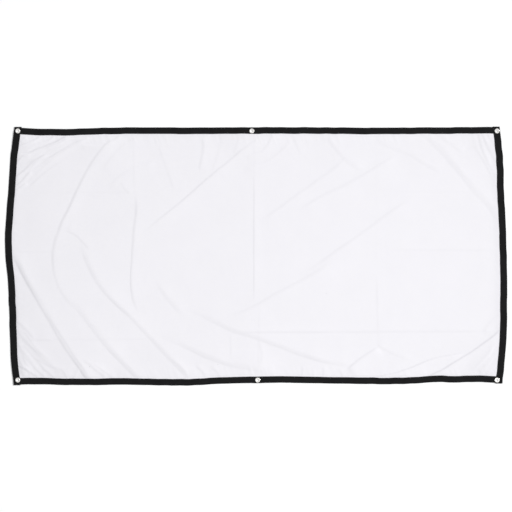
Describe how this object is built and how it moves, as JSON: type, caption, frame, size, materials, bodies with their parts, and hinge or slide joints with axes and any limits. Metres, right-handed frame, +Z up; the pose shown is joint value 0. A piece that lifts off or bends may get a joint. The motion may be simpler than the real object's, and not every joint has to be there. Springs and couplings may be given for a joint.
{
  "type": "collapsible cloth backdrop panel",
  "caption": "Soft white cloth backdrop panel with folded black tape round its edges and metal eyelets to hang it by; it folds flat in four along its length.",
  "frame": {"origin": "on the ground under the middle of the panel's bounding box, with the panel lying face up", "axes": "+X along the long side to the right, +Y towards the top edge, +Z up out of the panel's face"},
  "size_m": [1.9588, 1.004, 0.005],
  "materials": {
    "cloth": "matt white woven cloth with pressed storage folds",
    "tape": "black woven binding tape",
    "eyelet": "bright nickel-plated pressed metal"
  },
  "bodies": {
    "right_centre": {"cloth_inner_right": "cloth", "top_binding_inner_right": "tape", "bottom_binding_inner_right": "tape", "eyelet_bottom_middle": "eyelet", "washer_bottom_middle": "eyelet"},
    "left_centre": {"cloth_inner_left": "cloth", "top_binding_inner_left": "tape", "bottom_binding_inner_left": "tape", "eyelet_top_middle": "eyelet", "washer_top_middle": "eyelet"},
    "left_flap": {"cloth_outer_left": "cloth", "top_binding_outer_left": "tape", "bottom_binding_outer_left": "tape", "left_binding": "tape", "eyelet_top_left": "eyelet", "washer_top_left": "eyelet", "eyelet_bottom_left": "eyelet", "washer_bottom_left": "eyelet"},
    "right_flap": {"cloth_outer_right": "cloth", "top_binding_outer_right": "tape", "bottom_binding_outer_right": "tape", "right_binding": "tape", "eyelet_top_right": "eyelet", "washer_top_right": "eyelet", "eyelet_bottom_right": "eyelet", "washer_bottom_right": "eyelet"}
  },
  "joints": [
    {"name": "fold_in_half", "type": "hinge", "parent": "right_centre", "child": "left_centre", "pos_m": [-0.0105, 0, 0.0195], "axis": [0, 1, 0], "range_deg": [0, 180]},
    {"name": "fold_left_flap", "type": "hinge", "parent": "left_centre", "child": "left_flap", "pos_m": [-0.4965, 0, 0.009], "axis": [0, 1, 0], "range_deg": [0, 180]},
    {"name": "fold_right_flap", "type": "hinge", "parent": "right_centre", "child": "right_flap", "pos_m": [0.486, 0, 0.009], "axis": [0, -1, 0], "range_deg": [0, 180]}
  ]
}
